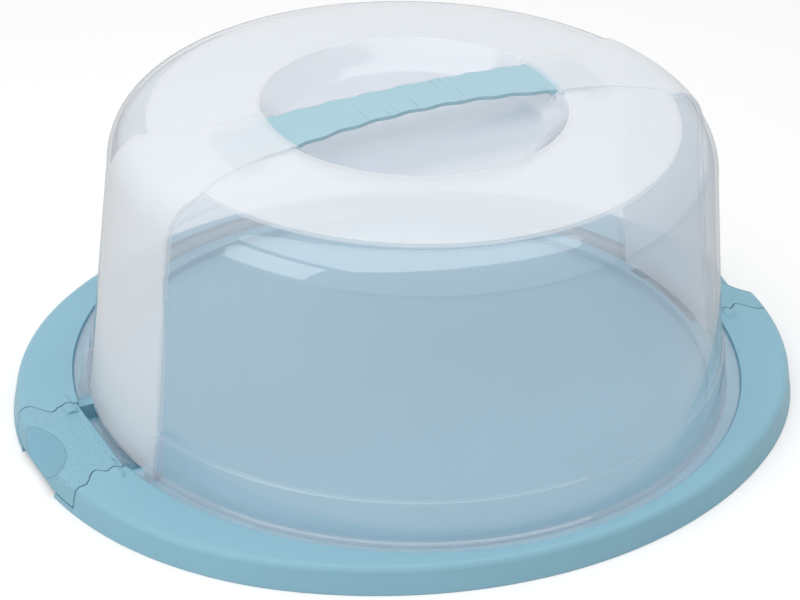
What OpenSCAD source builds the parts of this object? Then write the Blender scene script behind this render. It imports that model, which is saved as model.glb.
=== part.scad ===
// Cake carrier: an oval tray, a round lid that lifts off, a carry strap and two hinged latches.
// Millimetres. X runs along the strap, from latch to latch, Z is up and the tray stands on z = 0.
// The tray, the lid and the latches are thin-walled mouldings, open on the side that is not seen.

/* [Tray] */
// Length of the tray over its foot
tray_l = 357.8; // [354:0.2:380]
// Width of the tray over its foot
tray_w = 317.8; // [316:0.2:330]
// Height of the rim
tray_h = 12.4; // [11.8:0.1:15]
// Radius of the rim's upper outer edge
rim_round = 3.5; // [2.5:0.1:4]
// How far the outer wall leans in on its way up
rim_lean = 1.6; // [0.5:0.1:2.5]
// Thickness of the tray's walls
tray_wall = 2; // [1.6:0.1:2.2]
// Height of the floor that carries the cake
floor_h = 6; // [5.4:0.1:7.5]
// Width of the ledge that carries the lid
ledge_w = 14.6; // [12.5:0.1:16]
// Radial stiffening ribs under the rim
rib_count = 20; // [8:4:36]
// Thickness of the ribs and of the rings under the floor
rib_t = 1.6; // [1.2:0.1:2.4]
// Diameter of the inner ring under the floor
ring_small_d = 110; // [60:1:140]
// Diameter of the outer ring under the floor
ring_big_d = 210; // [160:1:250]

/* [Lid] */
// Diameter over the flange
lid_d = 300; // [296:0.5:302]
// Width of the flange beyond the wall's foot
flange_w = 7.4; // [6:0.1:8.5]
// Thickness of the flange
flange_t = 2.2; // [1.6:0.1:2.6]
// How far the flange lies below the rim
flange_sink = 0.6; // [0.2:0.1:1]
// Thickness of the lid's wall
lid_wall = 1.8; // [1.4:0.1:2.2]
// How far the wall leans in from its foot to the shoulder
wall_lean = 10.8; // [4:0.1:16]
// Height of the lid's wall, from the ledge to the shoulder
wall_h = 105.4; // [80:0.2:140]
// Height of the rounded shoulder
shoulder_h = 19.5; // [14:0.1:26]
// Width of the rounded shoulder
shoulder_w = 17.1; // [12:0.1:24]
// Height of the step round the roof
roof_step = 0.6; // [0.3:0.1:1.2]
// Rise of the roof from the shoulder to the dish
roof_rise = 4.6; // [2:0.1:8]
// Diameter of the dish at its rim
dish_d = 133; // [120:0.5:150]
// Diameter of the dish's floor
dish_floor_d = 112; // [95:0.5:116]
// Depth of the dish
dish_depth = 11.7; // [9:0.1:18]
// Radius of the dish's bottom corner
dish_round = 4; // [2:0.1:6]

/* [Bands and skirt] */
// How far the frosted bands stand out
band_t = 1.2; // [0.8:0.1:2]
// Width of a band at the foot of the wall
band_foot_w = 73.4; // [66:0.2:76]
// Width of a band at the shoulder
band_top_w = 62; // [54:0.2:66]
// Width of a band at the dish
band_dish_w = 35; // [34:0.2:40]
// Height of the skirt's top above the ledge
skirt_h = 20.6; // [14:0.1:30]
// How far the skirt steps out from the wall at its top
skirt_step = 1.3; // [0.8:0.1:2]
// How far the skirt widens towards the flange
skirt_flare = 0.4; // [0:0.1:1]
// Width of the upright rib that ends the skirt
post_w = 3.4; // [2:0.1:5]

/* [Strap] */
// Length of the strap, with its hidden ends
strap_l = 180; // [164:0.5:196]
// Thickness of the strap
strap_t = 2.4; // [1.8:0.1:3]
// Width of the strap at the middle
strap_mid_w = 22.6; // [18:0.2:26]
// Width of the strap at the dish's rim
strap_end_w = 29.6; // [26:0.2:30]
// Width of the ends under the bands
strap_tail_w = 26.6; // [22:0.2:27]
// Rise of the strap from the dish's rim to the middle
strap_rise = 4; // [2:0.1:8]
// Height of the waves along the edges
wave_h = 0.55; // [0:0.05:1.2]
// Length of one wave
wave_l = 16.5; // [10:0.5:24]
// Depth of the barb that keeps each end in
barb_h = 2.4; // [1.5:0.1:3]

/* [Latches] */
// Distance of the hinge from the lid's flange
hinge_out = 3.2; // [3:0.1:4.5]
// Radius of the knuckles and of the pivot bosses
knuckle_r = 3.8; // [3.4:0.1:4.2]
// How far the knuckles and bosses stand above the rim
knuckle_rise = 1.2; // [0.8:0.1:1.6]
// Length of each knuckle
knuckle_l = 7; // [5:0.5:9]
// Length of each pivot boss
boss_l = 6; // [5:0.5:8]
// Diameter of the hinge pins
pin_d = 3.8; // [3:0.1:4.2]
// Length of the hinge pins
pin_l = 3.6; // [3:0.1:4]
// Width of a latch at its hinge
latch_hinge_w = 54; // [50:0.5:58]
// Width of a latch at its waist
latch_waist_w = 49; // [44:0.5:50]
// Width of a latch at its outer corners
latch_outer_w = 66; // [60:0.5:70]
// Distance of the waist from the hinge
waist_out = 7.6; // [6:0.2:9]
// Distance of the outer corners from the hinge
flare_out = 16; // [13:0.5:18]
// Height of the latches' lower edge above the table
latch_foot_z = 2.8; // [2.2:0.1:3.4]
// Thickness of a latch's walls
latch_wall = 2; // [1.6:0.1:2.2]
// Length of the thumb scoop along the latch's edge
scoop_l = 43; // [34:0.5:46]
// Width of the thumb scoop, from the latch's edge inwards
scoop_w = 11; // [8:0.1:12]
// Width of the nose under the latch, and of the lid's catch
nose_w = 36; // [24:0.5:38]
// Width of the finger gap in the tray under a latch
finger_w = 38; // [30:0.5:44]
// How far the finger gap reaches in from a latch's edge
finger_reach = 9; // [6:0.5:11]

/* [Clearances] */
// Gap round the lid's flange
lid_gap = 0.6; // [0.3:0.05:0.8]
// Gap round a latch
latch_gap = 0.7; // [0.4:0.05:1]
// Radial running clearance of the hinge pins
pin_gap = 0.06; // [0.03:0.01:0.1]
// Gap between the lid's catch and the latch's nose
catch_gap = 0.4; // [0.3:0.05:0.8]
// Gap between the strap and the lid
strap_gap = 0.3; // [0.2:0.05:0.6]
// Gap between the lid and the ledge it rests on
seat_gap = 0.05; // [0:0.01:0.2]

/* [Hidden] */
$fn = 128;

blue = "#9CC9D6";
clear_white = [0.88, 0.92, 0.97, 0.55];
far = 400;

// Outline of the tray: two end arcs and two side arcs that share a tangent where they meet. Their
// centres lie 3 steps along X and 4 steps along Y from the middle, so the radii differ by 5 steps.
arc_step = hundredth((tray_l - tray_w) / 4);
end_cx = 3 * arc_step;
side_cy = 4 * arc_step;
tray_end_r = hundredth(tray_w / 2) - arc_step;
side_r = tray_end_r + 5 * arc_step;

// Levels
seat_z = tray_h - flange_sink - flange_t;
lid_z = seat_z + seat_gap;
shoulder_z = seat_z + wall_h;
roof_edge_z = shoulder_z + shoulder_h;
roof_z = roof_edge_z + roof_step + roof_rise;
dish_z = roof_z - dish_depth;

// Radii of the lid and of the recess that it stands in
flange_r = lid_d / 2;
recess_r = flange_r + lid_gap;
wall_foot_r = flange_r - flange_w;
shoulder_r = wall_foot_r - wall_lean;
roof_r = shoulder_r - shoulder_w;
pan_r = recess_r - ledge_w;

// Reach of the rim's top, inwards from the foot's outline, before the recess is cut
rim_w = tray_l / 2 - recess_r + 2 * tray_wall;
band_foot_r = wall_foot_r + band_t;
skirt_top_z = seat_z + skirt_h;
dish_r = dish_d / 2;
dish_floor_r = dish_floor_d / 2;
dish_slope = atan2(dish_depth, dish_r - dish_floor_r);

// The foot of the flange, seen from the side, and the skirt's and posts' reach over it
flange_root = 1;
edge_round = 0.5;
post_inset = 1.5;
post_round = 1.5;

// Strap: one arc over the dish. Its top at the dish's rim lies just under the band's skin.
strap_rim_z = roof_z + band_t - lid_wall - strap_gap;
strap_r = (pow(dish_r, 2) + pow(strap_rise, 2)) / (2 * strap_rise);
strap_cz = strap_rim_z + strap_rise - strap_r;
slot_z = strap_rim_z - strap_t - strap_gap;
tail_x = strap_l / 2;
tail_z = strap_cz + sqrt(pow(strap_r - strap_t, 2) - pow(tail_x, 2));
barb_l = 3;
barb_w = 16;
rail_t = 1.6;
rail_lip = 3;
rail_l = 12;

// Latches, drawn at the +X end
hinge_x = flange_r + hinge_out;
hinge_z = tray_h + knuckle_rise - knuckle_r;
latch_in_x = hinge_x - knuckle_r - 0.2;
latch_inset = 1.4;
latch_out_x = tray_l / 2 - latch_inset;
waist_x = hinge_x + waist_out;
flare_x = hinge_x + flare_out;
nose_t = 1.8;
nose_slant = 0.6;
nose_z = seat_z - nose_t;
nose_x = latch_in_x - 2;
pocket_z = latch_foot_z - latch_gap;
pocket_floor_t = 1.4;
boss_tip = 2.5;
boss_tip_r = knuckle_r - 1.6;
catch_t = 1.6;
catch_step = 0.3;
catch_top_z = nose_z - catch_gap;
catch_w = nose_w + 4;
notch_w = latch_hinge_w + 2 * latch_gap + 10;
finger_x = latch_out_x - finger_reach;

function hundredth(v) = round(v * 100) / 100;
function thousandth(v) = round(v * 1000) / 1000;
function mix(a, b, t) = a + (b - a) * t;
function ease(t) = t * t * (3 - 2 * t);
function clamp01(t) = min(max(t, 0), 1);

// Half width of a latch at x, grown by g: straight at the knuckles, drawn in at the waist, then flared.
function latch_half(x, g) =
    let (knuckle_x = hinge_x + knuckle_r)
    g + (
        x < waist_x
        ? mix(latch_hinge_w, latch_waist_w, ease(clamp01((x - knuckle_x) / (waist_x - knuckle_x))))
        : mix(latch_waist_w, latch_outer_w, ease(clamp01((x - waist_x) / (flare_x - waist_x))))
    ) / 2;

// Half width of a band on the roof at distance x from the axis.
function roof_band_half(x, g) = g + mix(band_dish_w, band_top_w,
    pow(clamp01((x - dish_r) / (roof_r - dish_r)), 2.6)) / 2;

// Half width of the strap at x: wavy over the dish, plain and narrower under the bands.
function strap_half(x) =
    abs(x) > dish_r
    ? mix(strap_end_w, strap_tail_w, ease(clamp01((abs(x) - dish_r) / 6))) / 2
    : mix(strap_mid_w, strap_end_w, pow(abs(x) / dish_r, 2)) / 2
        + wave_h * cos(360 * x / wave_l) * ease(clamp01((dish_r - abs(x)) / 10));

// Distance from the Z axis to the tray's outline, drawn in by inset, in the direction a.
function outline_r(a, inset) =
    let (
        ax = abs(cos(a)),
        ay = abs(sin(a)),
        end_hit = end_cx * ax + sqrt(pow(tray_end_r - inset, 2) - pow(end_cx * ay, 2)),
        side_hit = -side_cy * ay + sqrt(pow(side_r - inset, 2) - pow(side_cy * ax, 2))
    )
    3 * end_hit * ay < 4 * (end_hit * ax - end_cx) ? end_hit : side_hit;

// The leaning outer wall and its rounded upper edge, from the foot up, as points [x, z].
function rim_edge(r, inset, foot_z, top_z) =
    let (steps = 8, round_r = rim_round - inset)
    concat(
        [[r - inset - thousandth(rim_lean * max(foot_z, 0) / tray_h), foot_z]],
        [for (i = [0 : steps])
            let (a = 90 * i / steps)
            [r - thousandth(inset + rim_lean + round_r * (1 - cos(a))),
                top_z - thousandth(round_r * (1 - sin(a)))]]
    );

// Section of the rim for an arc of radius r: the outer wall and the top, both tray_wall thick.
module rim_section(r) {
    inner = rim_edge(r, tray_wall, 0, tray_h - tray_wall);
    polygon(concat(
        rim_edge(r, 0, 0, tray_h),
        [[r - rim_w, tray_h], [r - rim_w, tray_h - tray_wall]],
        [for (i = [len(inner) - 1 : -1 : 0]) inner[i]]
    ));
}

// One of the rim's four arcs: a revolve about (cx, cy), cut at the joints with its neighbours.
module rim_arc(cx, cy, r, plan) {
    intersection() {
        translate([cx, cy, 0])
            rotate_extrude()
                rim_section(r);
        translate([0, 0, -1])
            linear_extrude(tray_h + 2)
                polygon(plan);
    }
}

module rim() {
    reach = 50;
    tip_x = end_cx + 3 * reach;
    tip_y = 4 * reach;
    for (side = [1, -1]) {
        rim_arc(side * end_cx, 0, tray_end_r, [
            [side * end_cx, 0], [side * tip_x, tip_y], [side * 2 * tip_x, 0], [side * tip_x, -tip_y]
        ]);
        rim_arc(0, -side * side_cy, side_r, [
            [end_cx, 0], [tip_x, side * tip_y], [0, side * 3 * tip_y], [-tip_x, side * tip_y],
            [-end_cx, 0]
        ]);
    }
}

// The rim's outer form round the +X end, drawn in by inset and filled from foot_z up to top_z.
module end_form(inset, foot_z, top_z) {
    translate([end_cx, 0, 0])
        rotate_extrude()
            polygon(concat([[0, foot_z]], rim_edge(tray_end_r, inset, foot_z, top_z), [[0, top_z]]));
}

// Both ends of the part are alike, so end features are drawn at +X and mirrored.
module both_ends() {
    children();
    mirror([1, 0, 0]) children();
}

// A box from x0 to x1, width w across Y, from z0 to z1.
module slab(x0, x1, w, z0, z1) {
    translate([x0, -w / 2, z0])
        cube([x1 - x0, w, z1 - z0]);
}

// Plan of a latch, grown by g all round.
module latch_plan(g) {
    x0 = latch_in_x - g;
    x1 = latch_out_x + g;
    steps = 30;
    xs = [for (i = [0 : steps]) mix(x0, x1, i / steps)];
    polygon(concat(
        [for (x = xs) [x, -latch_half(x, g)]],
        [for (i = [steps : -1 : 0]) [xs[i], latch_half(xs[i], g)]]
    ));
}

// Plan of the pocket that a latch lies in: it runs on inwards under the lid's catch.
module pocket_plan(g) {
    latch_plan(g);
    translate([pan_r, -latch_half(latch_in_x, g)])
        square([latch_in_x - pan_r + 1, 2 * latch_half(latch_in_x, g)]);
    translate([latch_out_x - 1, -latch_half(latch_out_x, g)])
        square([10, 2 * latch_half(latch_out_x, g)]);
}

// A cylinder on the hinge axis from y0 to y1.
module on_hinge(r, y0, y1) {
    translate([hinge_x, y0, hinge_z])
        rotate([-90, 0, 0])
            cylinder(r = r, h = y1 - y0);
}

// Pivot bosses of one latch, with a tapered far end that runs into the rim.
module bosses() {
    y0 = latch_hinge_w / 2 + latch_gap;
    for (side = [1, -1])
        mirror([0, side < 0 ? 1 : 0, 0]) {
            on_hinge(knuckle_r, y0, y0 + boss_l);
            translate([hinge_x, y0 + boss_l, hinge_z])
                rotate([-90, 0, 0])
                    cylinder(r1 = knuckle_r, r2 = boss_tip_r, h = boss_tip);
        }
}

// Pan: the floor, the step up to the ledge, the ledge and the wall round the lid's flange.
module pan() {
    rotate_extrude()
        polygon([
            [0, floor_h - tray_wall], [pan_r + tray_wall, floor_h - tray_wall],
            [pan_r + tray_wall, seat_z - tray_wall], [recess_r + tray_wall, seat_z - tray_wall],
            [recess_r + tray_wall, tray_h - tray_wall / 2], [recess_r, tray_h - tray_wall / 2],
            [recess_r, seat_z], [pan_r, seat_z], [pan_r, floor_h], [0, floor_h]
        ]);
}

// Walls and floor of a latch's pocket, before the pocket is cut.
module pocket_block() {
    intersection() {
        end_form(tray_wall / 2, pocket_z - pocket_floor_t, tray_h - tray_wall / 2);
        linear_extrude(tray_h)
            pocket_plan(latch_gap + tray_wall);
    }
}

// Rings and radial ribs that stiffen the pan and the rim from below.
module underside_ribs() {
    rib_foot = 1;
    for (d = [ring_small_d, ring_big_d])
        difference() {
            cylinder(d = d + rib_t, h = floor_h - tray_wall / 2);
            translate([0, 0, -1])
                cylinder(d = d - rib_t, h = far);
        }
    for (i = [0 : rib_count - 1]) {
        a = (i + 0.5) * 360 / rib_count;
        foot_r = outline_r(a, tray_wall / 2);
        rotate([0, 0, a])
            rotate([90, 0, 0])
                linear_extrude(rib_t, center = true)
                    polygon([
                        [ring_small_d / 2, rib_foot], [foot_r, rib_foot],
                        [foot_r - rim_lean - 1, tray_h - tray_wall / 2],
                        [recess_r + tray_wall / 2, tray_h - tray_wall / 2],
                        [recess_r + tray_wall / 2, seat_z - tray_wall / 2],
                        [pan_r + tray_wall / 2, seat_z - tray_wall / 2],
                        [pan_r + tray_wall / 2, floor_h - tray_wall / 2],
                        [ring_small_d / 2, floor_h - tray_wall / 2]
                    ]);
    }
}

// Tray: a hollow rim round a flat pan, open and ribbed below, with a pocket for each latch.
module tray() {
    color(blue)
    difference() {
        union() {
            difference() {
                rim();
                translate([0, 0, seat_z])
                    cylinder(r = recess_r, h = far);
            }
            pan();
            underside_ribs();
            both_ends() {
                pocket_block();
                bosses();
            }
        }
        both_ends() {
            latch_room();
            pocket_top();
        }
    }
}

// Above the ledge the pocket's block stops where the lid's recess begins.
module pocket_top() {
    intersection() {
        translate([0, 0, seat_z])
            cylinder(r = recess_r, h = far);
        slab(pan_r - 10, far / 2, 2 * latch_outer_w, seat_z, tray_h + 1);
    }
}

// What is cut from the tray for one latch: its pocket, the pin holes and the finger gap below it.
module latch_room() {
    difference() {
        translate([0, 0, pocket_z])
            linear_extrude(far)
                pocket_plan(latch_gap);
        cylinder(r = pan_r + tray_wall, h = far);
    }
    slab(finger_x, far / 2, finger_w, -1, far / 2);
    hole_y = latch_hinge_w / 2 + pin_l + 0.4;
    on_hinge(pin_d / 2 + pin_gap, -hole_y, hole_y);
}

// Section of the lid as a filled form, drawn out by d from its outer surface.
module lid_section(d, foot_z) {
    steps = 12;
    dish_steps = 5;
    lean_d = wall_lean * (seat_z - foot_z) / wall_h;
    shift = d * tan(dish_slope / 2);
    corner_r = dish_floor_r - dish_round * tan(dish_slope / 2);
    polygon(concat(
        [[0, foot_z], [wall_foot_r + lean_d + d, foot_z]],
        [for (i = [0 : steps])
            let (a = 90 * i / steps)
            [roof_r + (shoulder_w + d) * cos(a), shoulder_z + (shoulder_h + d) * sin(a)]],
        [[roof_r, roof_edge_z + roof_step + d], [dish_r - shift, roof_z + d]],
        [for (i = [dish_steps : -1 : 0])
            let (a = dish_slope * i / dish_steps)
            [corner_r + (dish_round - d) * sin(a), dish_z + dish_round - (dish_round - d) * cos(a)]],
        [[0, dish_z + d]]
    ));
}

module lid_form(d, foot_z) {
    rotate_extrude()
        lid_section(d, foot_z);
}

// The two bands, seen from the end and from above. The form is narrowed by g on each side.
module band_mask(g) {
    steps = 10;
    intersection() {
        rotate([90, 0, 90])
            translate([0, 0, -far / 2])
                linear_extrude(far)
                    polygon([
                        [-band_foot_w / 2 + g, 0], [band_foot_w / 2 - g, 0],
                        [band_top_w / 2 - g, shoulder_z], [band_top_w / 2 - g, far],
                        [-band_top_w / 2 + g, far], [-band_top_w / 2 + g, shoulder_z]
                    ]);
        both_ends()
            linear_extrude(far) {
                xs = [for (i = [0 : steps]) mix(dish_r - 8, roof_r, i / steps)];
                polygon(concat(
                    [for (x = xs) [x, -roof_band_half(x, -g)]],
                    [[roof_r, -far / 4], [far / 2, -far / 4], [far / 2, far / 4], [roof_r, far / 4]],
                    [for (i = [steps : -1 : 0]) [xs[i], roof_band_half(xs[i], -g)]]
                ));
            }
    }
}

// Section of the skirt and of the hollow behind it. The skirt's top edge steps in to the wall.
module skirt_section(d, foot_z, top_z) {
    top_r = mix(wall_foot_r, shoulder_r, skirt_h / wall_h) + skirt_step + d;
    polygon([
        [wall_foot_r - 12, foot_z], [wall_foot_r + skirt_step + skirt_flare + d, foot_z],
        [top_r, top_z - skirt_step], [top_r - skirt_step / 2, top_z - skirt_step / 3],
        [top_r - skirt_step - 1, top_z], [wall_foot_r - 12, top_z]
    ]);
}

// Keeps what lies outside the two bands and their end posts.
module beside_bands(w) {
    difference() {
        children();
        slab(-far / 2, far / 2, w, -1, far);
    }
}

// The flange at the foot, cut away in front of each latch.
module flange() {
    foot_r = wall_foot_r + skirt_step + skirt_flare;
    difference() {
        rotate_extrude()
            polygon([
                [wall_foot_r - lid_wall, lid_z], [flange_r - edge_round, lid_z],
                [flange_r, lid_z + edge_round], [flange_r, lid_z + flange_t - edge_round],
                [flange_r - edge_round, lid_z + flange_t],
                [foot_r, lid_z + flange_t + flange_root],
                [wall_foot_r - lid_wall, lid_z + flange_t + flange_root]
            ]);
        both_ends()
            slab(pan_r / 2, far / 2, notch_w, -1, far / 2);
    }
}

// Upright ribs on the flange, where the skirt ends beside a band.
module posts() {
    foot_r = flange_r - post_inset;
    top_r = foot_r - 3;
    intersection() {
        rotate_extrude()
            polygon([
                [wall_foot_r - lid_wall, lid_z], [foot_r, lid_z],
                [top_r, skirt_top_z - post_round], [top_r - post_round, skirt_top_z],
                [wall_foot_r - lid_wall - 2, skirt_top_z]
            ]);
        difference() {
            slab(-far / 2, far / 2, band_foot_w + 2 * post_w, 0, far);
            slab(-far / 2, far / 2, band_foot_w, -1, far + 1);
        }
    }
}

// Catch at one end: the band's wall runs down in front of the latch and ends in a ledge under its nose.
module lid_catch() {
    intersection() {
        translate([0, 0, catch_top_z - catch_t]) {
            cylinder(r = band_foot_r + catch_step, h = lid_z + flange_t + catch_t - catch_top_z);
            slab(pan_r, nose_x - catch_gap, nose_w, 0, catch_t);
        }
        slab(pan_r, nose_x - catch_gap, catch_w, 0, far);
    }
}

// Rails under one band that carry the strap's end, with a lip below its edge.
module strap_rails() {
    inner = strap_end_w / 2 + strap_gap;
    lip_z = tail_z - strap_gap;
    x0 = tail_x - rail_l;
    for (side = [1, -1])
        mirror([0, side < 0 ? 1 : 0, 0]) {
            translate([x0, inner, lip_z - rail_t])
                cube([rail_l, rail_t, far]);
            translate([x0, inner - rail_lip, lip_z - rail_t])
                cube([rail_l, rail_lip + 0.5, rail_t]);
        }
}

// Slot in the dish's wall for the strap. Its top follows the strap's.
module strap_slot() {
    intersection() {
        slab(dish_floor_r, dish_r, strap_end_w + 2 * strap_gap, slot_z, roof_z + band_t);
        across_strap(strap_r + strap_gap);
    }
}

// A cylinder of radius r on the axis of the strap's arc.
module across_strap(r) {
    translate([0, 0, strap_cz])
        rotate([90, 0, 0])
            cylinder(r = r, h = 3 * strap_end_w, center = true, $fn = 720);
}

// Lid: one thin wall of revolution with raised bands, skirt, flange, catches and strap rails.
module lid() {
    color(clear_white)
    difference() {
        union() {
            lid_form(0, lid_z);
            intersection() {
                lid_form(band_t, lid_z);
                band_mask(0);
            }
            beside_bands(band_foot_w)
                rotate_extrude()
                    skirt_section(0, lid_z, skirt_top_z);
            flange();
            posts();
            both_ends() lid_catch();
        }
        difference() {
            union() {
                lid_form(-lid_wall, lid_z - 10);
                intersection() {
                    lid_form(band_t - lid_wall, lid_z - 10);
                    band_mask(lid_wall / 2);
                }
                beside_bands(band_foot_w + 2 * post_w + 2 * lid_wall)
                    rotate_extrude()
                        skirt_section(-lid_wall, lid_z - 1, skirt_top_z - lid_wall);
            }
            both_ends() strap_rails();
        }
        both_ends() strap_slot();
    }
}

// Strap: a slice of a thin cylinder over the dish, with wavy edges and a barb near each end.
module handle_strap() {
    steps = 120;
    end_round = 5;
    xs = [for (i = [0 : steps]) mix(-tail_x + end_round, tail_x - end_round, i / steps)];
    color(blue) {
        intersection() {
            difference() {
                across_strap(strap_r);
                across_strap(strap_r - strap_t);
            }
            linear_extrude(far) {
                polygon(concat(
                    [for (x = xs) [x, -strap_half(x)]],
                    [for (i = [steps : -1 : 0]) [xs[i], strap_half(xs[i])]]
                ));
                for (sx = [1, -1])
                    for (sy = [1, -1])
                        translate([sx * (tail_x - end_round), sy * (strap_tail_w / 2 - end_round)])
                            circle(r = end_round);
                square([strap_l, strap_tail_w - 2 * end_round], center = true);
            }
        }
        both_ends()
            slab(tail_x - barb_l - 2, tail_x - 2, barb_w, tail_z - barb_h, tail_z + strap_t / 2);
    }
}

// Latch at the +X end: a shell flush with the rim, with knuckles, pins, a nose and a thumb scoop.
module latch() {
    y1 = latch_hinge_w / 2;
    circle_r = (pow(scoop_l / 2, 2) + pow(scoop_w, 2)) / (2 * scoop_w);
    ball_h = 20;
    ball_r = sqrt(pow(circle_r, 2) + pow(ball_h, 2));
    ball_at = [latch_out_x - scoop_w + circle_r, 0, tray_h + ball_h];
    color(blue) {
        difference() {
            intersection() {
                end_form(0, 0, tray_h);
                translate([0, 0, latch_foot_z])
                    linear_extrude(far)
                        latch_plan(0);
            }
            difference() {
                intersection() {
                    end_form(latch_wall, -1, tray_h - latch_wall);
                    translate([0, 0, -1])
                        linear_extrude(far)
                            latch_plan(-latch_wall);
                }
                translate(ball_at) sphere(r = ball_r + latch_wall);
            }
            translate(ball_at) sphere(r = ball_r);
            latch_relief();
        }
        for (side = [1, -1])
            mirror([0, side < 0 ? 1 : 0, 0]) {
                on_hinge(knuckle_r, y1 - knuckle_l, y1);
                on_hinge(pin_d / 2, y1 - 1, y1 + pin_l);
            }
        nose();
    }
}

// The nose: a rib under the latch's inner edge whose tip reaches over the lid's catch.
module nose() {
    rotate([90, 0, 0])
        translate([0, 0, -nose_w / 2])
            linear_extrude(nose_w)
                polygon([
                    [nose_x, nose_z], [latch_in_x + nose_t, nose_z],
                    [latch_in_x + nose_t, tray_h - 1], [latch_in_x, tray_h - 1],
                    [latch_in_x, nose_z + nose_t + nose_slant], [nose_x, nose_z + nose_t - nose_slant]
                ]);
}

// Under the hinge the latch is cut back, so that it turns clear of the tray: whole up to the hinge
// and, from there to the waist, where it is wider than the pocket is at the waist.
module latch_relief() {
    difference() {
        slab(latch_in_x - 1, waist_x, latch_hinge_w + 1, 0, hinge_z);
        slab(hinge_x, waist_x + 1, latch_waist_w, -1, far);
    }
}

module latch_right() {
    latch();
}

module latch_left() {
    mirror([1, 0, 0]) latch();
}

tray();
lid();
handle_strap();
latch_left();
latch_right();
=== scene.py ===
"""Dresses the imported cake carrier: the clear and frosted lid, strap, tray, latches and a plain studio."""

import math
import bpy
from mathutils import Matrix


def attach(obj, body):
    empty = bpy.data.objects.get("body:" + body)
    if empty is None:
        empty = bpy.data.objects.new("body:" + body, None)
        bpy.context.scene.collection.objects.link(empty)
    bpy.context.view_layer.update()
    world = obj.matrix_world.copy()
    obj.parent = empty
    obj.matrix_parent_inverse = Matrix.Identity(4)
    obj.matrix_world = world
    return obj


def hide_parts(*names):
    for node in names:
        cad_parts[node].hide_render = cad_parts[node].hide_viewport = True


bl_info = {
    "name": "Cake Carrier",
    "version": (1, 0, 0),
    "blender": (4, 5, 0),
    "location": "3D View > Sidebar > Cake Carrier",
    "description": "Models the looks of a cake carrier round its packed CAD frame",
    "category": "Object",
}

import bpy
import numpy as np
from mathutils import Matrix, Vector

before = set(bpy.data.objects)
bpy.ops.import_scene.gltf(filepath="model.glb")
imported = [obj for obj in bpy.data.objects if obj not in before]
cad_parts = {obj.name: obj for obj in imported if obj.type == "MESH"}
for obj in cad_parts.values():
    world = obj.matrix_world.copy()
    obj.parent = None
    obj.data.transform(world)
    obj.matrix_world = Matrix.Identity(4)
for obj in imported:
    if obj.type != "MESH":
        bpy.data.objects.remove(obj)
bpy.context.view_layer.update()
MM = 0.001


# Forms of the lid, in millimetres, as in the part's source

def ellipse_row(r0, z0, a, b, degrees):
    """A point of the shoulder's quarter ellipse."""
    t = math.radians(degrees)
    return r0 + a * math.cos(t), z0 + b * math.sin(t)


def mix(a, b, t):
    return a + (b - a) * t


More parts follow.
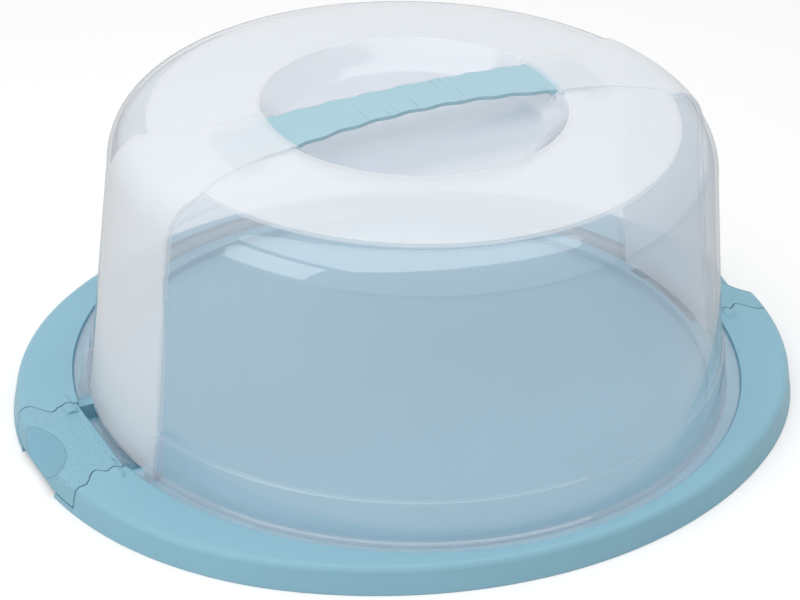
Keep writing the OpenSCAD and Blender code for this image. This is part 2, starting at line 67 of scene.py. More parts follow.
class LidForm:
    """The lid's section as rows from the foot to the middle of the dish, each with the band's own row."""

    def __init__(self, s):
        self.s = s
        self.seat = 9.6
        self.foot = 9.65
        self.flange_r, self.flange_t = 150.0, 2.2
        self.foot_r = 142.6
        self.shoulder_r, self.shoulder_z = 131.8, 115.0
        self.roof_r, self.roof_edge_z = 114.7, 134.5
        self.shoulder_w, self.shoulder_h = 17.1, 19.5
        self.step = 0.6
        self.roof_z = 139.7
        self.dish_r, self.floor_r, self.dish_z, self.round = 66.5, 56.0, 128.0, 4.0
        self.slope = math.atan2(self.roof_z - self.dish_z, self.dish_r - self.floor_r)
        self.skirt_top = 30.2
        self.skirt_step = 1.3
        self.slot_low = 136.1

    def wall_r(self, z):
        up = (z - self.seat) / (self.shoulder_z - self.seat)
        return self.foot_r - (self.foot_r - self.shoulder_r) * up

    def skirt_r(self, z):
        """Radius of the skirt at z, or of the wall above it."""
        foot = self.foot_r + self.skirt_step + 0.4
        top_z = self.skirt_top - self.skirt_step
        top = self.wall_r(self.skirt_top) + self.skirt_step
        if z <= top_z:
            return mix(foot, top, (z - self.foot) / (top_z - self.foot))
        t = (z - top_z) / self.skirt_step
        return mix(top, self.wall_r(self.skirt_top), 1 - math.sqrt(max(0.0, 1 - t * t)))

    def rows(self, d):
        """Rows (base point, band point, kind) of the surface that lies d outside the wall's outer face."""
        t = self.s.band_thickness / MM
        out = []

        def add(base, band, kind):
            out.append((base, band, kind))

        for z in (self.foot, 12.0, 15.5, 20.0, 25.0, 28.2, 28.9, 29.4, 29.8, 30.1, 30.2, 30.8, 33.0):
            low = self.skirt_r(z) if z <= self.skirt_top else self.wall_r(z)
            add((low + d, z), (self.wall_r(z) + t + d, z), "wall")
        for z in (42, 54, 66, 78, 90, 102, 110):
            add((self.wall_r(z) + d, z), (self.wall_r(z) + t + d, z), "wall")
        # Beside the bands the roof has a small step at its edge; the bands run over it smoothly
        lip = self.roof_edge_z
        slope = (self.roof_z - lip) / (self.roof_r - self.dish_r)
        turn = 90 - math.degrees(math.atan(slope * self.shoulder_w / self.shoulder_h))
        r0, z0, w, h = self.roof_r, self.shoulder_z, self.shoulder_w + d, self.shoulder_h + d
        band_w, band_h = self.shoulder_w + t + d, self.shoulder_h + t + d
        for degrees in range(0, 90, 6):
            base = ellipse_row(r0, z0, w, h, degrees)
            add(base, ellipse_row(r0, z0, band_w, band_h, degrees * turn / 90), "shoulder")
        turn_r, turn_z = ellipse_row(r0, z0, band_w, band_h, turn)

        def on_band(r):
            return r, turn_z + (turn_r - r) * slope

        for r, z, band_r, kind in (
            (self.roof_r + 0.25, lip, turn_r, "shoulder"),
            (self.roof_r, lip + 0.08, turn_r - 0.4, "edge"),
            (self.roof_r - 0.05, lip + self.step - 0.15, turn_r - 0.8, "edge"),
            (self.roof_r - 0.3, lip + self.step + 0.02, turn_r - 1.4, "roof"),
        ):
            add((r, z + d), on_band(band_r), kind)
        rise = self.roof_z - lip - self.step
        for r in (112.0, 108.0, 104.0, 99.0, 94.0, 89.0, 84.0, 79.0, 74.5, 71.0, 68.6):
            z = lip + self.step + rise * (self.roof_r - r) / (self.roof_r - self.dish_r)
            add((r, z + d), on_band(r), "roof")
        # The dish's rim is a small round between the roof and the slope
        roof_slope = math.atan2(rise, self.roof_r - self.dish_r)
        rim = 0.9
        for i in range(5):
            a = mix(roof_slope, -self.slope, i / 4)
            pair = []
            for lift in (d, d + t):
                r0 = self.dish_r - lift * math.tan(self.slope / 2)
                z0 = self.roof_z + lift
                back = rim * math.tan((roof_slope + self.slope) / 2)
                c_r = r0 + back * math.cos(roof_slope) - rim * math.sin(roof_slope)
                c_z = z0 - back * math.sin(roof_slope) - rim * math.cos(roof_slope)
                pair.append((c_r + rim * math.sin(a), c_z + rim * math.cos(a)))
            add(pair[0], pair[1], "rim")
        # Down the slope: the slot's two levels, then the band runs out
        slope_levels = (
            (138.6, 1), (137.4, 1), (self.slot_low, 1), (135.6, 1), (134.6, 0.5), (133.6, 0), (132.0, 0),
        )
        for z, k in slope_levels:
            r_on = self.slope_r(z, d)
            add((r_on, z), (self.slope_r(z, d + t * k), z), "slope" if k else "dish")
        corner_r = self.floor_r - self.round * math.tan(self.slope / 2)
        for i in range(6):
            a = self.slope * (1 - i / 5)
            bend = self.round - d
            q = (corner_r + bend * math.sin(a), self.dish_z + self.round - bend * math.cos(a))
            add(q, q, "dish")
        for r in (44.0, 30.0, 15.0):
            add((r, self.dish_z + d), (r, self.dish_z + d), "dish")
        return out

    def slope_r(self, z, d):
        """Radius of the dish's slope at z, drawn in by d."""
        return self.floor_r + (z - self.dish_z) / math.tan(self.slope) - d / math.sin(self.slope)

    def half_width(self, r, z):
        """Half width of a band where the lid's surface is at radius r and height z."""
        s = self.s
        foot, top, dish = s.band_foot_width / MM, s.band_top_width / MM, s.band_dish_width / MM
        by_z = mix(foot, top, min(z / self.shoulder_z, 1.0)) / 2
        x = math.sqrt(max(r * r - by_z * by_z, 0.0))
        for _ in range(4):
            t = min(max((x - self.dish_r) / (self.roof_r - self.dish_r), 0.0), 1.0)
            by_x = mix(dish, top, t**2.6) / 2
            x = math.sqrt(max(r * r - by_x * by_x, 0.0))
        return min(by_z, by_x) if r < self.roof_r + 20 else by_z


# Modelling helpers

def deselect():
    """Nothing selected and no active object, so that the next operator acts on its own piece alone."""
    if bpy.context.object and bpy.context.object.mode != "OBJECT":
        bpy.ops.object.mode_set(mode="OBJECT")
    bpy.ops.object.select_all(action="DESELECT")
    bpy.context.view_layer.objects.active = None


def activate(obj):
    deselect()
    obj.select_set(True)
    bpy.context.view_layer.objects.active = obj


def edit_all(obj):
    """Enters edit mode on obj with everything selected."""
    activate(obj)
    bpy.ops.object.mode_set(mode="EDIT")
    bpy.ops.mesh.select_all(action="SELECT")


def pick(obj, test):
    """Enters edit mode on obj with only the vertices selected whose place passes the test."""
    activate(obj)
    bpy.ops.object.mode_set(mode="EDIT")
    bpy.ops.mesh.select_mode(type="VERT")
    bpy.ops.mesh.select_all(action="DESELECT")
    bpy.ops.object.mode_set(mode="OBJECT")
    for v in obj.data.vertices:
        v.select = bool(test(v.co))
    bpy.ops.object.mode_set(mode="EDIT")


def trace(name, points):
    """An open outline in the XZ plane: one vertex drawn out from point to point, each (r, z) in mm."""
    deselect()
    bpy.ops.mesh.primitive_plane_add(size=0.001, enter_editmode=True)
    obj = bpy.context.object
    obj.name = obj.data.name = name
    bpy.ops.mesh.select_all(action="SELECT")
    bpy.ops.mesh.merge(type="CENTER")
    at = Vector((0.0, 0.0, 0.0))
    for i, (r, z) in enumerate(points):
        to = Vector((r * MM, 0.0, z * MM))
        if i == 0:
            bpy.ops.transform.translate(value=to - at)
        else:
            bpy.ops.mesh.extrude_region_move(TRANSFORM_OT_translate={"value": to - at})
        at = to
    bpy.ops.object.mode_set(mode="OBJECT")
    return obj


def revolve(obj, steps):
    """Spins the traced outline about the Z axis."""
    edit_all(obj)
    bpy.ops.mesh.spin(steps=steps, angle=2 * math.pi, center=(0, 0, 0), axis=(0, 0, 1))
    bpy.ops.mesh.select_all(action="SELECT")
    bpy.ops.mesh.remove_doubles(threshold=1e-6)
    bpy.ops.mesh.normals_make_consistent(inside=False)
    bpy.ops.object.mode_set(mode="OBJECT")
    return obj


def coordinates(obj):
    co = np.empty(len(obj.data.vertices) * 3)
    obj.data.vertices.foreach_get("co", co)
    return co.reshape(-1, 3)


def place(obj, co):
    obj.data.vertices.foreach_set("co", np.asarray(co, float).ravel())
    obj.data.update()


def smooth(obj, degrees):
    activate(obj)
    bpy.ops.object.shade_smooth_by_angle(angle=math.radians(degrees))


# Materials

SCOOP_CENTRE = (0.193, 0.0, 0.0324)
SCOOP_R = 0.0334
EDGE_ROUND = 0.0005
DISH_COLOUR = (0.99, 0.965, 0.985)
HAZE_IN_SHADOW = 0.3


def new_material(name):
    mat = bpy.data.materials.new(name)
    mat.use_nodes = True
    nt = mat.node_tree
    nt.nodes.clear()
    out = nt.nodes.new("ShaderNodeOutputMaterial")
    return mat, nt, out


def noise(nt, where, scale):
    n = nt.nodes.new("ShaderNodeTexNoise")
    n.inputs["Scale"].default_value = scale
    n.inputs["Detail"].default_value = 2
    n.inputs["Roughness"].default_value = 0.5
    nt.links.new(where, n.inputs["Vector"])
    return n.outputs["Fac"]


def remap(nt, value, low, high, a, b):
    n = nt.nodes.new("ShaderNodeMapRange")
    for key, v in (("From Min", low), ("From Max", high), ("To Min", a), ("To Max", b)):
        n.inputs[key].default_value = v
    nt.links.new(value, n.inputs["Value"])
    return n.outputs["Result"]


def bump(nt, height, strength, distance, normal=None):
    n = nt.nodes.new("ShaderNodeBump")
    n.inputs["Strength"].default_value = strength
    n.inputs["Distance"].default_value = distance
    nt.links.new(height, n.inputs["Height"])
    if normal is not None:
        nt.links.new(normal, n.inputs["Normal"])
    return n.outputs["Normal"]


def moulded_plastic(name, colour, roughness=0.36):
    """Satin moulded plastic: slight cloudiness in the colour, a fine skin and softly rounded edges."""
    mat, nt, out = new_material(name)
    where = nt.nodes.new("ShaderNodeTexCoord").outputs["Object"]
    p = nt.nodes.new("ShaderNodeBsdfPrincipled")
    clouds = noise(nt, where, 18)
    ramp = nt.nodes.new("ShaderNodeMix")
    ramp.data_type = "RGBA"
    ramp.inputs["A"].default_value = (*[c * 0.96 for c in colour], 1)
    ramp.inputs["B"].default_value = (*[min(c * 1.04, 1) for c in colour], 1)
    nt.links.new(clouds, ramp.inputs["Factor"])
    nt.links.new(ramp.outputs["Result"], p.inputs["Base Color"])
    sheen = remap(nt, noise(nt, where, 900), 0.3, 0.7, roughness - 0.04, roughness + 0.06)
    nt.links.new(sheen, p.inputs["Roughness"])
    soft = nt.nodes.new("ShaderNodeBevel")
    soft.samples = 4
    soft.inputs["Radius"].default_value = EDGE_ROUND
    skin = bump(nt, noise(nt, where, 1600), 0.12, 0.0002, soft.outputs["Normal"])
    nt.links.new(skin, p.inputs["Normal"])
    p.inputs["Specular IOR Level"].default_value = 0.32
    nt.links.new(p.outputs["BSDF"], out.inputs["Surface"])
    return mat


def grained_plastic(name, colour, roughness):
    """The latch's plastic: a fine pebble grain, left out inside the smooth thumb scoop, and a thin line of
    painted shade along the scoop's crease.
    """
    mat = moulded_plastic(name, colour, roughness)
    nt = mat.node_tree
    where = nt.nodes.new("ShaderNodeTexCoord").outputs["Object"]
    p = next(n for n in nt.nodes if n.type == "BSDF_PRINCIPLED")
    fold = nt.nodes.new("ShaderNodeVectorMath")
    fold.operation = "ABSOLUTE"
    nt.links.new(where, fold.inputs[0])
    away = nt.nodes.new("ShaderNodeVectorMath")
    away.operation = "DISTANCE"
    away.inputs[1].default_value = SCOOP_CENTRE
    nt.links.new(fold.outputs["Vector"], away.inputs[0])
    grained = remap(nt, away.outputs["Value"], SCOOP_R, SCOOP_R + 0.0002, 0.0, 1.0)
    pebbles = nt.nodes.new("ShaderNodeTexVoronoi")
    pebbles.inputs["Scale"].default_value = 760
    nt.links.new(where, pebbles.inputs["Vector"])
    height = nt.nodes.new("ShaderNodeMath")
    height.operation = "MULTIPLY"
    nt.links.new(pebbles.outputs["Distance"], height.inputs[0])
    nt.links.new(grained, height.inputs[1])
    skin = p.inputs["Normal"].links[0].from_socket
    nt.links.new(bump(nt, height.outputs[0], 0.8, 0.0006, skin), p.inputs["Normal"])
    # A thin line of painted shade darkens the colour along the crease round the scoop
    crease_shade = nt.nodes.new("ShaderNodeMix")
    crease_shade.data_type = "RGBA"
    crease_shade.blend_type = "MULTIPLY"
    crease_shade.inputs["B"].default_value = (0.62, 0.72, 0.76, 1)
    beside = nt.nodes.new("ShaderNodeMath")
    beside.operation = "SUBTRACT"
    beside.inputs[1].default_value = SCOOP_R
    nt.links.new(away.outputs["Value"], beside.inputs[0])
    near = nt.nodes.new("ShaderNodeMath")
    near.operation = "ABSOLUTE"
    nt.links.new(beside.outputs[0], near.inputs[0])
    nt.links.new(remap(nt, near.outputs[0], 0.0001, 0.0004, 0.8, 0.0), crease_shade.inputs["Factor"])
    nt.links.new(p.inputs["Base Color"].links[0].from_socket, crease_shade.inputs["A"])
    nt.links.new(crease_shade.outputs["Result"], p.inputs["Base Color"])
    return mat


def gloss_amount(nt, least):
    """How much a smooth surface mirrors: least when seen square on, most at a grazing view."""
    facing = nt.nodes.new("ShaderNodeLayerWeight")
    facing.inputs["Blend"].default_value = 0.5
    power = nt.nodes.new("ShaderNodeMath")
    power.operation = "POWER"
    power.inputs[1].default_value = 5
    nt.links.new(facing.outputs["Facing"], power.inputs[0])
    return remap(nt, power.outputs[0], 0.0, 1.0, least, 0.85)


def mix_shaders(nt, amount, first, second):
    m = nt.nodes.new("ShaderNodeMixShader")
    if isinstance(amount, float):
        m.inputs["Fac"].default_value = amount
    else:
        nt.links.new(amount, m.inputs["Fac"])
    nt.links.new(first, m.inputs[1])
    nt.links.new(second, m.inputs[2])
    return m.outputs["Shader"]


def see_through(name, colour, veil, rim_veil, gloss, roughness, glow, skin):
    """Thin plastic: a haze over what is behind it, denser towards a grazing view, under a glossy skin."""
    mat, nt, out = new_material(name)
    where = nt.nodes.new("ShaderNodeTexCoord").outputs["Object"]
    clear = nt.nodes.new("ShaderNodeBsdfTransparent")
    clear.inputs["Color"].default_value = (0.975, 0.985, 1.0, 1)
    p = nt.nodes.new("ShaderNodeBsdfPrincipled")
    p.inputs["Base Color"].default_value = (*colour, 1)
    p.inputs["Roughness"].default_value = 0.6
    p.inputs["Specular IOR Level"].default_value = 0.2
    through = nt.nodes.new("ShaderNodeBsdfTranslucent")
    through.inputs["Color"].default_value = (*colour, 1)
    body = mix_shaders(nt, glow, p.outputs["BSDF"], through.outputs["BSDF"])
    facing = nt.nodes.new("ShaderNodeLayerWeight")
    facing.inputs["Blend"].default_value = 0.35
    amount = remap(nt, facing.outputs["Facing"], 0.0, 1.0, veil, rim_veil)
    cloud = remap(nt, noise(nt, where, 9), 0.3, 0.7, 0.95, 1.05)
    times = nt.nodes.new("ShaderNodeMath")
    times.operation = "MULTIPLY"
    times.use_clamp = True
    nt.links.new(amount, times.inputs[0])
    nt.links.new(cloud, times.inputs[1])
    # The haze counts less for shadow rays, so that the thin wall casts only a light shadow
    ray = nt.nodes.new("ShaderNodeLightPath")
    lit = nt.nodes.new("ShaderNodeMath")
    lit.operation = "MULTIPLY"
    nt.links.new(times.outputs[0], lit.inputs[0])
    nt.links.new(remap(nt, ray.outputs["Is Shadow Ray"], 0.0, 1.0, 1.0, HAZE_IN_SHADOW), lit.inputs[1])
    veiled = mix_shaders(nt, lit.outputs[0], clear.outputs["BSDF"], body)
    shine = nt.nodes.new("ShaderNodeBsdfGlossy")
    shine.inputs["Roughness"].default_value = roughness
    surface = bump(nt, noise(nt, where, skin), 0.08, 0.0001)
    nt.links.new(surface, shine.inputs["Normal"])
    nt.links.new(surface, p.inputs["Normal"])
    finished = mix_shaders(nt, gloss_amount(nt, gloss), veiled, shine.outputs["BSDF"])
    nt.links.new(finished, out.inputs["Surface"])
    return mat


def dress(obj, *mats):
    obj.data.materials.clear()
    for m in mats:
        obj.data.materials.append(m)


def clear_plastic():
    return bpy.data.materials.get("clear_plastic") or see_through(
        "clear_plastic", settings().clear_colour,
        veil=0.14, rim_veil=0.19, gloss=0.07, roughness=0.03, glow=0.5, skin=260,
    )


def frosted_plastic():
    return bpy.data.materials.get("frosted_plastic") or see_through(
        "frosted_plastic", settings().frost_colour,
        veil=0.47, rim_veil=0.82, gloss=0.05, roughness=0.38, glow=0.3, skin=900,
    )


def dish_plastic():
    """The clear dish, a little hazier than the windows."""
    return bpy.data.materials.get("dish_plastic") or see_through(
        "dish_plastic", DISH_COLOUR,
        veil=0.27, rim_veil=0.32, gloss=0.05, roughness=0.08, glow=0.5, skin=260,
    )


# Settings

class CarrierSettings(bpy.types.PropertyGroup):
    band_thickness: bpy.props.FloatProperty(
        name="Band thickness", description="How far the frosted bands stand out", default=0.0012,
        min=0.0005, max=0.002, subtype="DISTANCE", unit="LENGTH", precision=4,
    )
    band_foot_width: bpy.props.FloatProperty(
        name="Band at the foot", description="Width of a band at the lid's foot", default=0.0734,
        subtype="DISTANCE", unit="LENGTH", precision=4,
    )
    band_top_width: bpy.props.FloatProperty(
        name="Band at the shoulder", description="Width of a band at the lid's shoulder", default=0.062,
        subtype="DISTANCE", unit="LENGTH", precision=4,
    )
    band_dish_width: bpy.props.FloatProperty(
        name="Band at the dish", description="Width of a band at the dish's rim", default=0.035,
        subtype="DISTANCE", unit="LENGTH", precision=4,
    )
    post_width: bpy.props.FloatProperty(
        name="Post width", description="Width of the upright posts beside the bands", default=0.0034,
        subtype="DISTANCE", unit="LENGTH", precision=4,
    )
    lid_wall: bpy.props.FloatProperty(
        name="Lid wall", description="Thickness of the lid's wall", default=0.0018,
        subtype="DISTANCE", unit="LENGTH", precision=4,
    )
    tray_colour: bpy.props.FloatVectorProperty(
        name="Tray colour", description="Colour of the tray and the latches", size=3, subtype="COLOR",
        default=(0.265, 0.5, 0.61), min=0, max=1,
    )
    strap_colour: bpy.props.FloatVectorProperty(
        name="Strap colour", description="Colour of the carry strap", size=3, subtype="COLOR",
        default=(0.36, 0.56, 0.64), min=0, max=1,
    )
    frost_colour: bpy.props.FloatVectorProperty(
        name="Frost colour", description="Colour of the lid's frosted bands and roof", size=3,
        subtype="COLOR", default=(0.92, 0.93, 0.945), min=0, max=1,
    )
    clear_colour: bpy.props.FloatVectorProperty(
        name="Clear colour", description="Colour of the haze on the lid's clear windows", size=3,
        subtype="COLOR", default=(0.96, 0.97, 1.0), min=0, max=1,
    )


def settings():
    return bpy.context.scene.cake_carrier


# Lid

# Sizes in millimetres
NOTCH_HALF = 32.7
SLOT_HALF = 15.1
CATCH_LOW, CATCH_HIGH, CATCH_TOP = 5.8, 7.4, 11.85
CATCH_INNER_R, CATCH_R = 142.2, 144.1
CATCH_HALF, LEDGE_HALF, LEDGE_X = 20.0, 18.0, 146.8
RAIL_X = (78, 90)
RAIL_LOW, RAIL_LIP_HIGH, RAIL_HIGH = 131.12, 132.72, 136.6
STRAP_FREE = 64.0
STRAP_HALF = 1.2
STRAP_DRAWN = 0.9

# Steps of a revolved trim, and the first radius and the spacing of the skins' rows before they are laid
SPIN_STEPS = 288
ROW_START, ROW_STEP = 1.0, 2.0

# One quarter's columns, from the middle of a band to the middle of a window. Each has its kind, its
# place and its share of the band's height.
WINDOW_COLUMNS = 26
COLUMNS = (
    [("share", f, 1.0) for f in (0.0, 0.22, 0.43, 0.65, 0.863)]
    + [("edge", 1.3, 1.0), ("edge", 0.45, 1.0), ("edge", 0.2, 0.94), ("edge", 0.06, 0.8)]
    + [("edge", 0.0, 0.55), ("edge", -0.02, 0.15), ("edge", -0.15, 0.02), ("edge", -0.4, 0.0)]
    + [("window", i / WINDOW_COLUMNS, 0.0) for i in range(1, WINDOW_COLUMNS + 1)]
)
PER_QUARTER = len(COLUMNS) - 1


def lay_surface(obj, form, rows, shift):
    """Lays a revolved grid on the lid's form, its columns along the bands' edges, drawn in by shift."""
    total = 4 * PER_QUARTER
    co = coordinates(obj)
    radius = np.hypot(co[:, 0], co[:, 1]) / MM
    row_of = np.rint((radius - ROW_START) / ROW_STEP).astype(int)
    degrees = np.degrees(np.arctan2(co[:, 1], co[:, 0])) % 360
    turn = np.rint(degrees / 360 * total).astype(int) % total
    laid = {}
    frozen = None
    for j, (base, band, kind) in enumerate(rows):
        angles = []
        points = []
        if kind != "dish":
            half = form.half_width(band[0], band[1]) - shift
            for what, a, k in COLUMNS:
                r = mix(base[0], band[0], k)
                zz = mix(base[1], band[1], k)
                if what == "share":
                    y = half * a
                    if a >= 0.8 and kind in ("rim", "slope"):
                        y = min(y, SLOT_HALF)
                    theta = math.asin(y / r)
                elif what == "edge":
                    theta = math.asin((half - a) / r)
                    last = theta
                else:
                    theta = mix(last, math.pi / 2, a)
                angles.append(theta)
                points.append((r, zz))
            frozen = angles
        else:
            angles = frozen
            points = [base] * len(COLUMNS)
        laid[j] = (angles, points)
    for i in range(len(co)):
        j = row_of[i]
        q, c = divmod(int(turn[i]), PER_QUARTER)
        angles, points = laid[j]
        if q % 2 == 0:
            theta = q * math.pi / 2 + angles[c]
        else:
            c = PER_QUARTER - c
            theta = (q + 1) * math.pi / 2 - angles[c]
        r, zz = points[c]
        co[i] = (r * math.cos(theta) * MM, r * math.sin(theta) * MM, zz * MM)
    place(obj, co)


def lid_skin(name, form, d, shift):
    """One skin of the lid: a disc of rows revolved, then laid on the form."""
    rows = form.rows(d)
    obj = trace(name, [(i * ROW_STEP + ROW_START, 0.0) for i in range(len(rows))])
    revolve(obj, 4 * PER_QUARTER)
    lay_surface(obj, form, rows, shift)
    # The last row closes with a cap in the middle of the dish
    inner = rows[-1][0][0] * MM
    pick(obj, lambda co: math.hypot(co.x, co.y) < inner * 1.01 and co.z > 0.1)
    bpy.ops.mesh.extrude_region_move(TRANSFORM_OT_translate={"value": (0, 0, 0)})
    bpy.ops.mesh.merge(type="CENTER")
    bpy.ops.object.mode_set(mode="OBJECT")
    return obj


def paint_finishes(obj, form):
    """Material 1, frosted, on the bands and the roof's ring, and 2 in the dish. The rest is clear."""
    mesh = obj.data
    for p in mesh.polygons:
        c = p.center / MM
        r = math.hypot(c.x, c.y)
        half = form.half_width(r, c.z)
        in_band = abs(c.y) < half + 0.02 and r > form.dish_r - 3.5 and c.z > 9
        in_ring = form.dish_r - 0.6 < r < form.roof_r + 0.02 and c.z > form.roof_edge_z - 2.5
        in_dish = r < form.dish_r + 1 and c.z > form.dish_z - 4
        p.material_index = 1 if in_band or in_ring else 2 if in_dish else 0


class CARRIER_OT_lid(bpy.types.Operator):
    """Models the lid's wall, roof and dish with the raised bands, clear and frosted"""

    bl_idname = "carrier.lid"
    bl_label = "Lid"

    def execute(self, context):
        s = settings()
        form = LidForm(s)
        outer = lid_skin("lid_outer", form, 0.0, 0.0)
        inner = lid_skin("lid_inner", form, -s.lid_wall / MM, s.lid_wall / MM / 2)
        edit_all(outer)
        bpy.ops.mesh.normals_make_consistent(inside=False)
        bpy.ops.object.mode_set(mode="OBJECT")
        edit_all(inner)
        bpy.ops.mesh.normals_make_consistent(inside=False)
        bpy.ops.mesh.flip_normals()
        bpy.ops.object.mode_set(mode="OBJECT")
        activate(outer)
        inner.select_set(True)
        bpy.ops.object.join()
        lid = outer
        lid.name = lid.data.name = "lid_shell"
        pick(lid, lambda co: abs(co.z - form.foot * MM) < 1e-6)
        bpy.ops.mesh.bridge_edge_loops()
        bpy.ops.object.mode_set(mode="OBJECT")
        dress(lid, clear_plastic(), frosted_plastic(), dish_plastic())
        paint_finishes(lid, form)
        smooth(lid, 40)
        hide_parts("lid")
        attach(lid, "cover")
        return {"FINISHED"}


def cut(obj, y, keep_above):
    """Cuts obj along the plane at height y across the strap and keeps one side, closed."""
    edit_all(obj)
    bpy.ops.mesh.bisect(
        plane_co=(0, y * MM, 0), plane_no=(0, 1, 0), use_fill=True,
        clear_inner=keep_above, clear_outer=not keep_above,
    )
    bpy.ops.object.mode_set(mode="OBJECT")


def keep_right(obj):
    """Drops what lies left of the middle. The cut itself meets nothing."""
    edit_all(obj)
    bpy.ops.mesh.bisect(plane_co=(0, 0, 0), plane_no=(1, 0, 0), clear_inner=True)
    bpy.ops.object.mode_set(mode="OBJECT")


def turned_copy(obj, name):
    """A copy on the other side of the lid, half a turn round the Z axis."""
    activate(obj)
    bpy.ops.object.duplicate()
    other = bpy.context.object
    other.name = name
    place(other, coordinates(other) * (-1, -1, 1))
    return other


def mirrored_copy(obj, name, factors):
    """A mirrored copy, turned the right way out again."""
    activate(obj)
    bpy.ops.object.duplicate()
    other = bpy.context.object
    other.name = name
    place(other, coordinates(other) * factors)
    recalculate(other)
    return other


def recalculate(obj):
    edit_all(obj)
    bpy.ops.mesh.remove_doubles(threshold=1e-6)
    bpy.ops.mesh.normals_make_consistent(inside=False)
    bpy.ops.object.mode_set(mode="OBJECT")


def join(first, *others):
    activate(first)
    for o in others:
        o.select_set(True)
    bpy.ops.object.join()
    return first


def close_trace(obj):
    """Joins the two ends of a traced outline."""
    edit_all(obj)
    bpy.ops.mesh.remove_doubles(threshold=1e-7)
    bpy.ops.object.mode_set(mode="OBJECT")


class CARRIER_OT_foot(bpy.types.Operator):
    """Models the lid's flange in its two arcs and the four upright posts beside the bands"""

    bl_idname = "carrier.foot"
    bl_label = "Flange and posts"

    def execute(self, context):
        form = LidForm(settings())
        foot, top, rim = form.foot, form.foot + form.flange_t, form.flange_r
        section = [
            (143.2, foot), (rim - 0.5, foot), (rim - 0.15, foot + 0.15), (rim, foot + 0.5),
            (rim, top - 0.5), (rim - 0.15, top - 0.15), (rim - 0.5, top), (146.6, top + 0.15),
            (145.0, top + 0.5), (144.3, top + 1.0), (143.2, top + 1.0), (143.2, foot),
        ]
        flange = trace("lid_flange", section)
        close_trace(flange)
        revolve(flange, SPIN_STEPS)
        cut(flange, NOTCH_HALF, True)
        join(flange, turned_copy(flange, "lid_flange_far"))
        recalculate(flange)
        dress(flange, clear_plastic())
        smooth(flange, 30)

        high = form.skirt_top
        section = [
            (142.6, foot + 1.0), (148.5, foot + 1.0), (145.75, high - 1.7), (145.4, high - 0.75),
            (144.6, high - 0.15), (143.8, high), (140.6, high), (142.6, foot + 1.0),
        ]
        post = trace("lid_posts", section)
        close_trace(post)
        revolve(post, SPIN_STEPS)
        low, wide = settings().band_foot_width / MM / 2, settings().post_width / MM
        cut(post, low, True)
        cut(post, low + wide, False)
        keep_right(post)
        recalculate(post)
        far = mirrored_copy(post, "post_far", (1, -1, 1))
        join(post, far)
        join(post, turned_copy(post, "posts_left"))
        recalculate(post)
        activate(post)
        bevel = post.modifiers.new("edges", "BEVEL")
        bevel.width = 0.0003
        bevel.segments = 2
        bevel.limit_method = "ANGLE"
        bevel.angle_limit = math.radians(50)
        bpy.ops.object.modifier_apply(modifier="edges")
        edit_all(post)
        bpy.ops.mesh.remove_doubles(threshold=3e-5)
        bpy.ops.mesh.dissolve_degenerate(threshold=1e-5)
        bpy.ops.object.mode_set(mode="OBJECT")
        dress(post, clear_plastic())
        smooth(post, 50)
        for piece in (flange, post):
            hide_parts("lid")
            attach(piece, "cover")
        return {"FINISHED"}


def block(name, low, high, bevel):
    """A small moulded block between two corners in millimetres, with softened edges."""
    deselect()
    bpy.ops.mesh.primitive_cube_add(size=1, enter_editmode=True)
    obj = bpy.context.object
    obj.name = obj.data.name = name
    size = Vector(high) - Vector(low)
    bpy.ops.transform.resize(value=size * MM)
    bpy.ops.transform.translate(value=(Vector(low) + Vector(high)) / 2 * MM)
    bpy.ops.mesh.bevel(offset=bevel * MM, segments=2, affect="EDGES")
    bpy.ops.object.mode_set(mode="OBJECT")
    return obj


class CARRIER_OT_inside(bpy.types.Operator):
    """Models the catch below each band and the rails that carry the strap's ends under the roof"""

    bl_idname = "carrier.inside"
    bl_label = "Catches and rails"

    def execute(self, context):
        section = [
            (CATCH_INNER_R, CATCH_LOW), (CATCH_R, CATCH_LOW), (CATCH_R, CATCH_TOP),
            (CATCH_INNER_R, CATCH_TOP), (CATCH_INNER_R, CATCH_LOW),
        ]
        catch = trace("lid_catches", section)
        close_trace(catch)
        revolve(catch, SPIN_STEPS)
        cut(catch, -CATCH_HALF, True)
        cut(catch, CATCH_HALF, False)
        keep_right(catch)
        recalculate(catch)
        ledge = block(
            "catch_ledge", (CATCH_R - 0.7, -LEDGE_HALF, CATCH_LOW), (LEDGE_X, LEDGE_HALF, CATCH_HIGH), 0.3
        )
        join(catch, ledge)
        join(catch, turned_copy(catch, "catch_far"))
        dress(catch, clear_plastic())
        smooth(catch, 30)

        rails = None
        for side in (1, -1):
            edge = (SLOT_HALF * side, (SLOT_HALF + 1.6) * side)
            lip = ((SLOT_HALF - 3.0) * side, (SLOT_HALF + 0.5) * side)
            x0, x1 = RAIL_X
            stem = block("rail_stem", (x0, min(edge), RAIL_LOW), (x1, max(edge), RAIL_HIGH), 0.2)
            foot = block("rail_lip", (x0, min(lip), RAIL_LOW), (x1, max(lip), RAIL_LIP_HIGH), 0.2)
            join(stem, foot)
            rails = stem if rails is None else join(rails, stem)
        rails.name = rails.data.name = "strap_rails"
        join(rails, turned_copy(rails, "rails_far"))
        dress(rails, frosted_plastic())
        smooth(rails, 30)
        for piece in (catch, rails):
            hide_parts("lid")
            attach(piece, "cover")
        return {"FINISHED"}


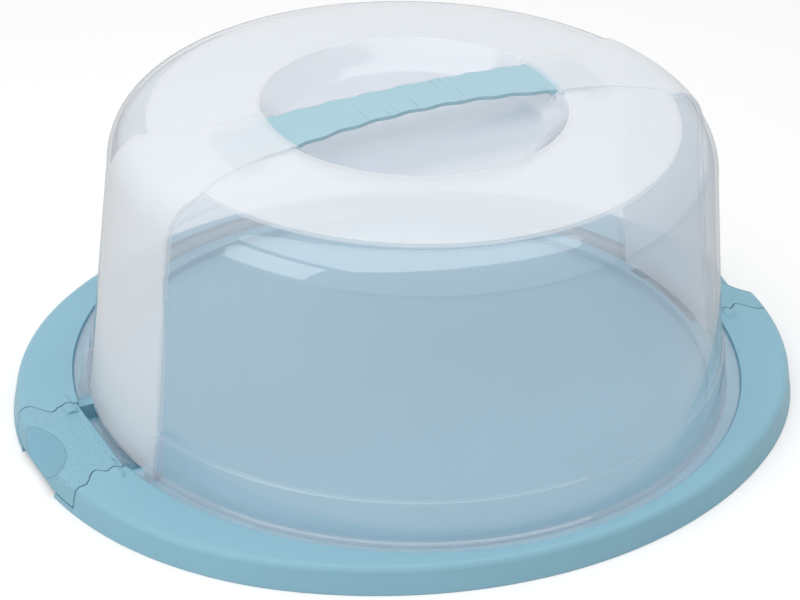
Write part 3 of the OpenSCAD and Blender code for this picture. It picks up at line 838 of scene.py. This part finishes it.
def thinner_strap(node):
    """The strap with its free length drawn up to its thin section. Its ends keep their thickness."""
    activate(node)
    bpy.ops.object.duplicate()
    strap = bpy.context.object
    strap.name = strap.data.name = "carry_strap"
    recalculate(strap)
    co = coordinates(strap)
    along = np.abs(co[:, 0]) / MM
    steps = np.rint(along / 4).astype(int)
    free_steps = np.unique(steps[along < STRAP_FREE])
    crown = np.array([(along[steps == k].mean(), co[steps == k, 2].max()) for k in free_steps])
    top = np.polyval(np.polyfit(crown[:, 0] ** 2, crown[:, 1], 2), along**2)
    free = np.clip((STRAP_FREE - along) / 6, 0, 1)
    under = co[:, 2] < top - STRAP_HALF * MM
    co[under, 2] += STRAP_DRAWN * MM * free[under]
    place(strap, co)
    bpy.ops.object.shade_flat()
    return strap


class CARRIER_OT_plastics(bpy.types.Operator):
    """Gives the tray, the strap and the latches their moulded plastic"""

    bl_idname = "carrier.plastics"
    bl_label = "Tray, strap and latches"

    def execute(self, context):
        s = settings()
        tray = moulded_plastic("tray_plastic", s.tray_colour)
        strap = moulded_plastic("strap_plastic", s.strap_colour, 0.42)
        latch = grained_plastic("latch_plastic", s.tray_colour, 0.42)
        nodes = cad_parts
        dress(nodes["tray"], tray)
        dress(nodes["handle_strap"], strap)
        carry = thinner_strap(nodes["handle_strap"])
        dress(carry, strap)
        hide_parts("handle_strap")
        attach(carry, "cover")
        for n in ("latch_left", "latch_right"):
            dress(nodes[n], latch)
        return {"FINISHED"}


# Studio

CAMERA_PLACE = (-0.4755533, -0.8795175, 0.6317069)
CAMERA_LOOK = (0.4065967, 0.7591404, -0.5083158)
CAMERA_ROLL = 0.0263807
FOCAL_PIXELS, FRAME_WIDTH = 2597.83, 800
FLOOR_GREY, FLOOR_GLOW = 0.8, 0.25
ROOM_LIGHT = 0.51
LAMP_AIM = (0, 0, 0.06)
# Name, place, size, turn in degrees, power. A lamp with a turn faces straight down, one without the aim.
LAMPS = (
    ("softbox", (-0.18, -0.14, 1.13), (1.65, 1.06), 8, 8.5),
    ("fill", (-1.9, -0.35, 0.9), (1.2, 1.2), 0, 7.6),
)


class CARRIER_OT_stage(bpy.types.Operator):
    """Sets the floor, the lamps, the world and the camera"""

    bl_idname = "carrier.stage"
    bl_label = "Stage"

    def execute(self, context):
        deselect()
        bpy.ops.mesh.primitive_plane_add(size=8, location=(0, 0, -0.0002))
        floor = context.object
        floor.name = "floor"
        mat, nt, out = new_material("floor_white")
        d = nt.nodes.new("ShaderNodeBsdfDiffuse")
        d.inputs["Color"].default_value = (FLOOR_GREY, FLOOR_GREY, FLOOR_GREY, 1)
        e = nt.nodes.new("ShaderNodeEmission")
        path = nt.nodes.new("ShaderNodeLightPath")
        seen = nt.nodes.new("ShaderNodeMath")
        seen.operation = "MULTIPLY"
        seen.inputs[1].default_value = FLOOR_GLOW
        nt.links.new(path.outputs["Is Camera Ray"], seen.inputs[0])
        nt.links.new(seen.outputs[0], e.inputs["Strength"])
        a = nt.nodes.new("ShaderNodeAddShader")
        nt.links.new(d.outputs["BSDF"], a.inputs[0])
        nt.links.new(e.outputs["Emission"], a.inputs[1])
        nt.links.new(a.outputs["Shader"], out.inputs["Surface"])
        floor.data.materials.append(mat)

        world = bpy.data.worlds.new("studio")
        context.scene.world = world
        world.use_nodes = True
        wt = world.node_tree
        background = wt.nodes["Background"]
        background.inputs["Color"].default_value = (1, 1, 1, 1)
        ray = wt.nodes.new("ShaderNodeLightPath")
        shown = wt.nodes.new("ShaderNodeMath")
        shown.operation = "MAXIMUM"
        wt.links.new(ray.outputs["Is Camera Ray"], shown.inputs[0])
        wt.links.new(ray.outputs["Is Glossy Ray"], shown.inputs[1])
        wt.links.new(remap(wt, shown.outputs[0], 0.0, 1.0, ROOM_LIGHT, 1.0), background.inputs["Strength"])

        # One wide softbox overhead, which the glossy shoulder mirrors, and a fill from the left
        for name, at, size, turn, power in LAMPS:
            bpy.ops.object.light_add(type="AREA", location=at)
            lamp = context.object
            lamp.name = name
            lamp.data.shape = "RECTANGLE"
            lamp.data.size, lamp.data.size_y = size
            lamp.data.energy = power
            if turn:
                lamp.rotation_euler = (0, 0, math.radians(turn))
            else:
                lamp.rotation_mode = "QUATERNION"
                lamp.rotation_quaternion = (Vector(LAMP_AIM) - Vector(at)).to_track_quat("-Z", "Y")

        cam = bpy.data.cameras.new("camera")
        cam.sensor_width = 36
        cam.lens = FOCAL_PIXELS / FRAME_WIDTH * cam.sensor_width
        cam.clip_start, cam.clip_end = 0.05, 20
        eye = bpy.data.objects.new("camera", cam)
        context.scene.collection.objects.link(eye)
        forward = Vector(CAMERA_LOOK).normalized()
        right = forward.cross(Vector((0, 0, 1))).normalized()
        up = right.cross(forward)
        r = right * math.cos(CAMERA_ROLL) + up * math.sin(CAMERA_ROLL)
        u = up * math.cos(CAMERA_ROLL) - right * math.sin(CAMERA_ROLL)
        m = Matrix((r, u, -forward)).transposed().to_4x4()
        m.translation = Vector(CAMERA_PLACE)
        eye.matrix_world = m
        context.scene.camera = eye
        context.scene.view_settings.view_transform = "Standard"
        return {"FINISHED"}


class CARRIER_PT_panel(bpy.types.Panel):
    bl_idname = "CARRIER_PT_panel"
    bl_label = "Cake Carrier"
    bl_space_type = "VIEW_3D"
    bl_region_type = "UI"
    bl_category = "Cake Carrier"

    def draw(self, context):
        col = self.layout.column()
        for name in CarrierSettings.__annotations__:
            col.prop(settings(), name)
        for op in OPERATORS:
            col.operator(op.bl_idname)


OPERATORS = (CARRIER_OT_lid, CARRIER_OT_foot, CARRIER_OT_inside, CARRIER_OT_plastics, CARRIER_OT_stage)
CLASSES = (CarrierSettings, *OPERATORS, CARRIER_PT_panel)


def register():
    for c in CLASSES:
        bpy.utils.register_class(c)
    bpy.types.Scene.cake_carrier = bpy.props.PointerProperty(type=CarrierSettings)


def unregister():
    del bpy.types.Scene.cake_carrier
    for c in reversed(CLASSES):
        bpy.utils.unregister_class(c)


def main():
    register()
    bpy.ops.carrier.lid()
    bpy.ops.carrier.foot()
    bpy.ops.carrier.inside()
    bpy.ops.carrier.plastics()
    bpy.ops.carrier.stage()


if __name__ == "__main__":
    main()
